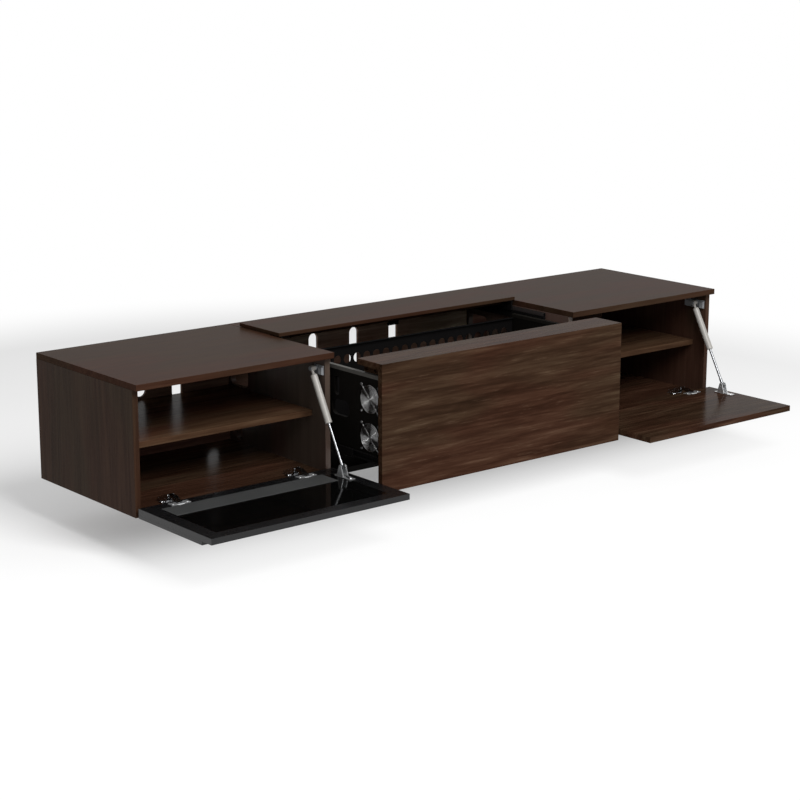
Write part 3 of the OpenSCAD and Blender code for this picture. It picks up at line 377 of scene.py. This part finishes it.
boardPaint = {"speckle": 900, "rough": 0.5, "metal": 0.0, "gloss": 0.03, "bump": 0.12}
coatPaint = {"speckle": 1500, "rough": 0.5, "metal": 0.0, "gloss": 0.07, "bump": 0.2}
plasticValues = {"speckle": 2200, "rough": 0.4, "metal": 0.0, "gloss": 0.3, "bump": 0.1}
paintValues = {"speckle": 1200, "rough": 0.35, "metal": 0.0, "gloss": 0.35, "bump": 0.04}
# painted shade: this finish turns about eight times darker towards the right, past x = 0.1 to 0.2 m
trimValues = {"speckle": 1400, "rough": 0.5, "metal": 0.1, "gloss": 0.06, "bump": 0.05,
              "paintedLightAndShade": [("X", 0.1, 0.2, (0.12, 0.11, 0.1))]}
stripValues = {"speckle": 1400, "rough": 0.5, "metal": 0.0, "gloss": 0.05, "bump": 0.05}
frameValues = {"speckle": 1300, "rough": 0.28, "metal": 0.0, "gloss": 0.36, "bump": 0.05}
finishes = {
    "dark_board": speckled("darkBoard", tone(10, 9, 8), tone(18, 16, 14), boardPaint),
    "black_metal": speckled("blackMetal", tone(9, 8, 8), tone(15, 14, 14), coatPaint),
    "black_plastic": speckled("blackPlastic", tone(11, 11, 11), tone(19, 19, 19), plasticValues),
    "light_paint": speckled("lightPaint", tone(143, 140, 135), tone(158, 155, 150), paintValues),
    "grey_metal": speckled("greyMetal", tone(112, 114, 117), tone(132, 134, 137), paintValues),
    "dark_aluminium": speckled("darkAluminium", tone(9, 9, 10), tone(17, 17, 18), frameValues),
    "aluminium": speckled("aluminium", tone(69, 67, 64), tone(83, 81, 78), trimValues),
    "steel": brushed("zincSteel", tone(96, 96, 97), tone(124, 124, 125), "X",
                     {"rough": 0.36, "metal": 0.9, "bump": 0.08}),
    "chrome": polished("chromeMetal", tone(176, 177, 179), tone(204, 205, 207), 0.2),
    "black_glass": paintedGlass("blackGlass"),
}
plateFinish = brushed("hingePlate", tone(48, 49, 49), tone(78, 79, 79), "X",
                      {"rough": 0.4, "metal": 0.25, "bump": 0.1})
nickelFinish = brushed("nickelFitting", tone(196, 197, 198), tone(222, 223, 224), "X",
                       {"rough": 0.28, "metal": 0.8, "bump": 0.04})
linkFinish = polished("linkMetal", tone(128, 129, 131), tone(152, 153, 155), 0.16)
rodFinish = polished("rodMetal", tone(114, 115, 117), tone(138, 139, 141), 0.24)
guardFinish = polished("guardWire", tone(184, 184, 184), tone(206, 206, 206), 0.12)
stripFinish = speckled("trackStrip", tone(38, 34, 33), tone(48, 44, 43), stripValues)
darkScrew = speckled("darkScrew", tone(40, 40, 41), tone(62, 62, 63), coatPaint)

# the grain's direction and the finish of each walnut board
woodBoards = {
    "left_side_panel": ("Z", sideWood), "right_side_panel": ("Z", innerWood),
    "left_divider": ("Z", dividerWood), "right_divider": ("Z", dividerWood),
    "left_top": ("X", topWood), "right_top": ("X", topWood), "rear_top_strip": ("X", topWood),
    "sliding_lid": ("X", topWood), "left_bottom": ("X", bottomWood), "right_bottom": ("X", bottomWood),
    "left_shelf": ("X", shelfWood), "right_shelf": ("X", shelfWood),
    "left_back_panel": ("X", backWood), "centre_back_panel": ("X", bayWood),
    "right_back_panel": ("X", backWood), "right_flap_panel": ("X", flapWood),
    "drawer_front": ("X", satinWood), "drawer_slab": ("X", satinWood), "slab_battens": ("Y", satinWood),
}
patternStep = 1.37
nodeFinish = {node: finishes.get(slotOf[node]) for node in nodes}
for node, (grain, values) in woodBoards.items():
    # each board has its own place in the pattern, and the slab carries on the front's
    pattern = "drawer_front" if node == "drawer_slab" else node
    offset = list(woodBoards).index(pattern) * patternStep
    nodeFinish[node] = woodFinish("walnut_" + node, grain, (offset, offset * 0.7, offset * 0.4), values)
for end in ("left", "right"):
    nodeFinish[end + "_hinge_cups"] = nodeFinish[end + "_clevis"] = nickelFinish
    nodeFinish[end + "_hinge_links"] = linkFinish
    nodeFinish[end + "_strut_rod"] = rodFinish
nodeFinish["left_flap_hinge_plate"] = plateFinish
nodeFinish["fan_screws"] = darkScrew
print("finishes made,", len(bpy.data.materials))


# pieces

def dress(piece, body, material):
    # gives a piece its one material and the body it rides on
    piece.data.materials.clear()
    piece.data.materials.append(material)
    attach(piece, body)


def build(name, parts, body, material):
    # joins (points, quads) pairs into one mesh, closes its poles and turns its faces outwards
    shift = np.cumsum([0] + [len(points) for points, quads in parts[:-1]])
    allPoints = np.concatenate([points for points, quads in parts])
    allQuads = np.concatenate([quads + start for (points, quads), start in zip(parts, shift)])
    mesh = bpy.data.meshes.new(name)
    mesh.from_pydata(allPoints.tolist(), [], allQuads.tolist())
    work = bmesh.new()
    work.from_mesh(mesh)
    bmesh.ops.remove_doubles(work, verts=work.verts, dist=2e-6)
    bmesh.ops.dissolve_degenerate(work, edges=work.edges, dist=1e-7)
    bmesh.ops.recalc_face_normals(work, faces=work.faces)
    work.to_mesh(mesh)
    work.free()
    mesh.polygons.foreach_set("use_smooth", np.ones(len(mesh.polygons), bool))
    piece = bpy.data.objects.new(name, mesh)
    bpy.context.scene.collection.objects.link(piece)
    dress(piece, body, material)
    return piece


def crossAxes(axis):
    # two unit vectors square to the axis and to each other
    axis = np.array(axis, float) / np.linalg.norm(axis)
    side = np.cross(axis, (0, 0, 1) if abs(axis[2]) < 0.9 else (0, 1, 0))
    side /= np.linalg.norm(side)
    return axis, side, np.cross(axis, side)


def turned(profile, centre, axis, steps=32):
    # a profile of (radius, height) pairs turned about an axis: c + h a + r (cos t e + sin t f)
    axis, side, other = crossAxes(axis)
    radius, height = np.array(profile, float).T
    turn = np.arange(steps) / steps * 2 * math.pi
    ring = np.cos(turn)[:, None] * side + np.sin(turn)[:, None] * other
    points = np.array(centre) + height[:, None, None] * axis + radius[:, None, None] * ring
    return points.reshape(-1, 3), gridQuads(len(profile), steps, False, True)


def hoop(centre, axis, radius, wire, steps=72, sides=8):
    # a ring of round wire: c + (R + w cos s) (cos t e + sin t f) + w sin s a
    axis, side, other = crossAxes(axis)
    turn = np.arange(steps) / steps * 2 * math.pi
    out = np.cos(turn)[:, None] * side + np.sin(turn)[:, None] * other
    around = np.arange(sides) / sides * 2 * math.pi
    points = (np.array(centre) + out[:, None] * (radius + wire * np.cos(around))[:, None]
              + (wire * np.sin(around))[:, None] * axis)
    return points.reshape(-1, 3), gridQuads(steps, sides, True, True)


def rod(start, end, radius, sides=10):
    # a straight wire: a profile of its radius along its length, closed and slightly rounded at both ends
    start, end = np.array(start, float), np.array(end, float)
    length = np.linalg.norm(end - start)
    profile = [(0, 0), (radius * 0.8, 0), (radius, radius * 0.3), (radius, length - radius * 0.3),
               (radius * 0.8, length), (0, length)]
    return turned(profile, start, end - start, sides)


def bar(low, high, edge, axis="X"):
    # a rounded rectangle carried along one axis, with its ends drawn in to close them
    low, high = np.array(low, float), np.array(high, float)
    order = {"X": (0, 1, 2), "Y": (1, 2, 0), "Z": (2, 0, 1)}[axis]
    middle, half = (low + high) / 2, (high - low) / 2
    turn = (np.arange(32) + 0.5) / 32 * 2 * math.pi
    a, b = np.cos(turn), np.sin(turn)
    across = np.sign(a) * (half[order[1]] - edge) + edge * a
    upward = np.sign(b) * (half[order[2]] - edge) + edge * b
    inward = np.array([1e-9, 1 - edge * 0.5 / half[order[1]], 1, 1, 1 - edge * 0.5 / half[order[1]], 1e-9])
    along = np.array([-1, -1, -1 + edge / half[order[0]], 1 - edge / half[order[0]], 1, 1])
    points = np.zeros((6, 32, 3))
    points[..., order[0]] = (middle[order[0]] + along * half[order[0]])[:, None]
    points[..., order[1]] = middle[order[1]] + inward[:, None] * across
    points[..., order[2]] = middle[order[2]] + inward[:, None] * upward
    return points.reshape(-1, 3), gridQuads(6, 32, False, True)


headValues = {"dome": 0.34, "rim": 0.12, "slotWidth": 0.13, "slotReach": 0.62, "slotDepth": 0.0006}


def screwHead(centre, axis, radius, values):
    # a low dome h(r) = H (1 - (r / R)^2) with a cross pressed into it where |u| or |v| is small
    axis, side, other = crossAxes(axis)
    share = np.linspace(0, 1, 11)
    turn = np.arange(48) / 48 * 2 * math.pi
    r, t = np.meshgrid(share, turn, indexing="ij")
    u, v = r * np.cos(t), r * np.sin(t)
    dome = radius * values["dome"] * (1 - r ** 2) + radius * values["rim"]
    cross = ((np.minimum(abs(u), abs(v)) < values["slotWidth"]) & (r < values["slotReach"])).astype(float)
    height = np.where(r > 0.99, 0, dome - cross * values["slotDepth"])
    points = (np.array(centre) + (u[..., None] * side + v[..., None] * other) * radius
              + height[..., None] * axis)
    return points.reshape(-1, 3), gridQuads(11, 48, False, True)


bevelValues = {"turn": 35, "segments": 2, "merge": 1e-5, "flat": 0.5}


def softened(node, radius, values):
    # the CAD node's own form, merged, with its edges rounded over
    mesh = nodes[node].data.copy()
    for extra in ("custom_normal", "sharp_edge", "sharp_face"):
        if extra in mesh.attributes:
            mesh.attributes.remove(mesh.attributes[extra])
    work = bmesh.new()
    work.from_mesh(mesh)
    bmesh.ops.remove_doubles(work, verts=work.verts, dist=values["merge"])
    bmesh.ops.dissolve_limit(work, angle_limit=math.radians(values["flat"]),
                             verts=work.verts, edges=work.edges)
    work.to_mesh(mesh)
    work.free()
    mesh.polygons.foreach_set("use_smooth", np.ones(len(mesh.polygons), bool))
    piece = bpy.data.objects.new(node + "_rounded", mesh)
    bpy.context.scene.collection.objects.link(piece)
    edges = piece.modifiers.new("edges", "BEVEL")
    edges.width, edges.segments, edges.limit_method = radius, values["segments"], "ANGLE"
    edges.angle_limit = math.radians(values["turn"])
    edges.harden_normals = edges.use_clamp_overlap = True
    dress(piece, bodyOf[node], nodeFinish[node])
    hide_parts(node)


# how far each node's edges are rounded over, in metres
edgeRadii = {
    "left_side_panel": 0.0008, "left_divider": 0.0008, "right_divider": 0.0008, "right_side_panel": 0.0008,
    "left_top": 0.0012, "right_top": 0.0012, "left_bottom": 0.0008, "centre_bottom": 0.0008,
    "right_bottom": 0.0008, "left_shelf": 0.0012, "right_shelf": 0.0012, "rear_top_strip": 0.001,
    "left_back_panel": 0.0006, "centre_back_panel": 0.0006, "right_back_panel": 0.0006,
    "left_flap_frame": 0.0006, "left_flap_outer_panel": 0.0006, "left_flap_hinge_plate": 0.0005,
    "left_flap_glass": 0.0005, "left_clevis": 0.0005, "right_clevis": 0.0005, "right_flap_panel": 0.0012,
    "hinge_plates": 0.0004, "hinge_arms": 0.0004, "left_hinge_links": 0.0006, "right_hinge_links": 0.0006,
    "left_hinge_cups": 0.0003, "right_hinge_cups": 0.0003, "strut_brackets": 0.0008,
    "drawer_front": 0.0008, "drawer_slab": 0.0008, "slab_battens": 0.0008,
    "drawer_left_side": 0.0006, "drawer_right_side": 0.0006, "drawer_trims": 0.0003,
    "projector_tray": 0.0006, "sliding_lid": 0.0015, "lid_runners": 0.0005, "tracks_and_catch": 0.0005,
    "control_box": 0.001, "drive_motor": 0.0008, "drive_rod": 0.0005, "wall_rails": 0.0004,
    "cabinet_hangers": 0.0004, "left_strut_tube": 0.0006, "right_strut_tube": 0.0006,
    "left_strut_rod": 0.0005, "right_strut_rod": 0.0005,
}
for node, radius in edgeRadii.items():
    softened(node, radius, bevelValues)
for node, item in nodes.items():
    item.data.materials.clear()
    item.data.materials.append(nodeFinish[node])
print("CAD nodes dressed,", len(edgeRadii), "with rounded edges")

guardValues = {"wire": 0.0009, "pitch": 0.0054, "rings": 8, "tail": 0.0006, "eye": 0.0044,
               "screw": 0.04125}


def fanCentres():
    # the middle of each impeller's box
    boxes = [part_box(node) for node in nodes if node.startswith("impeller_")]
    return [np.array((low + high) / 2) for low, high in boxes]


def addGuards(values):
    # rings of wire on four spokes, with an eye round each screw, on the drawer's outer faces
    parts = []
    outer = abs(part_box("drawer_left_side")[0][0])
    for centre in fanCentres():
        side = -1 if centre[0] < 0 else 1
        spot = np.array([side * (outer + values["wire"]), centre[1], centre[2]])
        for ring in range(1, values["rings"] + 1):
            parts.append(hoop(spot, (side, 0, 0), ring * values["pitch"], values["wire"]))
        for corner in np.array([(0, -1, -1), (0, -1, 1), (0, 1, -1), (0, 1, 1)]):
            way = corner / math.sqrt(2)
            rim = spot + way * values["rings"] * values["pitch"]
            eyeEdge = spot + way * (values["screw"] * math.sqrt(2) - values["eye"])
            parts.append(rod(spot + way * values["pitch"], rim, values["tail"]))
            parts.append(rod(rim, eyeEdge, values["tail"]))
            parts.append(hoop(spot + corner * values["screw"], (side, 0, 0),
                              values["eye"] - values["tail"], values["tail"], 28))
    guards = build("guard_wires", parts, "drawer", guardFinish)
    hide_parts("fan_guards")


addGuards(guardValues)
print("fan guards made")

trackValues = {"depth": 0.0006, "sunk": 0.0004, "height": 0.0115, "trackDepth": 0.010, "short": 0.006,
               "edge": 0.0002}


def addTrackStrips(values):
    # the strips on the faces of the lid tracks, one on each divider
    parts = []
    low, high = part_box("tracks_and_catch")
    inner = abs(low[0]) - values["trackDepth"]
    for side in (-1, 1):
        x = sorted((side * (inner - values["depth"]), side * (inner + values["sunk"])))
        nearEnd = (x[0], low[1], high[2] - values["height"])
        farEnd = (x[1], high[1] - values["short"], high[2])
        parts.append(bar(nearEnd, farEnd, values["edge"], "Y"))
    build("track_strips", parts, "cabinet", stripFinish)


addTrackStrips(trackValues)
print("track strips made")

# places of the four hinges and of the screws beside their middle
screwValues = {"hinges": (-1.095, -0.635, 0.635, 1.095), "left": -0.594, "right": -0.599,
               "footPlace": -0.520, "foot": 0.015, "footHead": 0.0042, "footSunk": 0.0003,
               "flange": 0.025, "flangeHead": 0.0036, "flangeSunk": 0.0004}


def addScrews(values):
    # cross-head screws on the hinge feet and on the cups' flanges
    feet, flanges = [], {"left": [], "right": []}
    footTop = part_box("hinge_plates")[1][2] - values["footSunk"]
    for x in values["hinges"]:
        end = "left" if x < 0 else "right"
        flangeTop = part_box(end + "_hinge_cups")[1][2] - values["flangeSunk"]
        for side in (-1, 1):
            foot = (x + side * values["foot"], values["footPlace"], footTop)
            flange = (x + side * values["flange"], values[end], flangeTop)
            feet.append(screwHead(foot, (0, 0, 1), values["footHead"], headValues))
            flanges[end].append(screwHead(flange, (0, 0, 1), values["flangeHead"], headValues))
    build("foot_screws", feet, "cabinet", finishes["chrome"])
    for end, parts in flanges.items():
        build(end + "_flap_screws", parts, end + "_flap", finishes["chrome"])


addScrews(screwValues)
print("screws made")
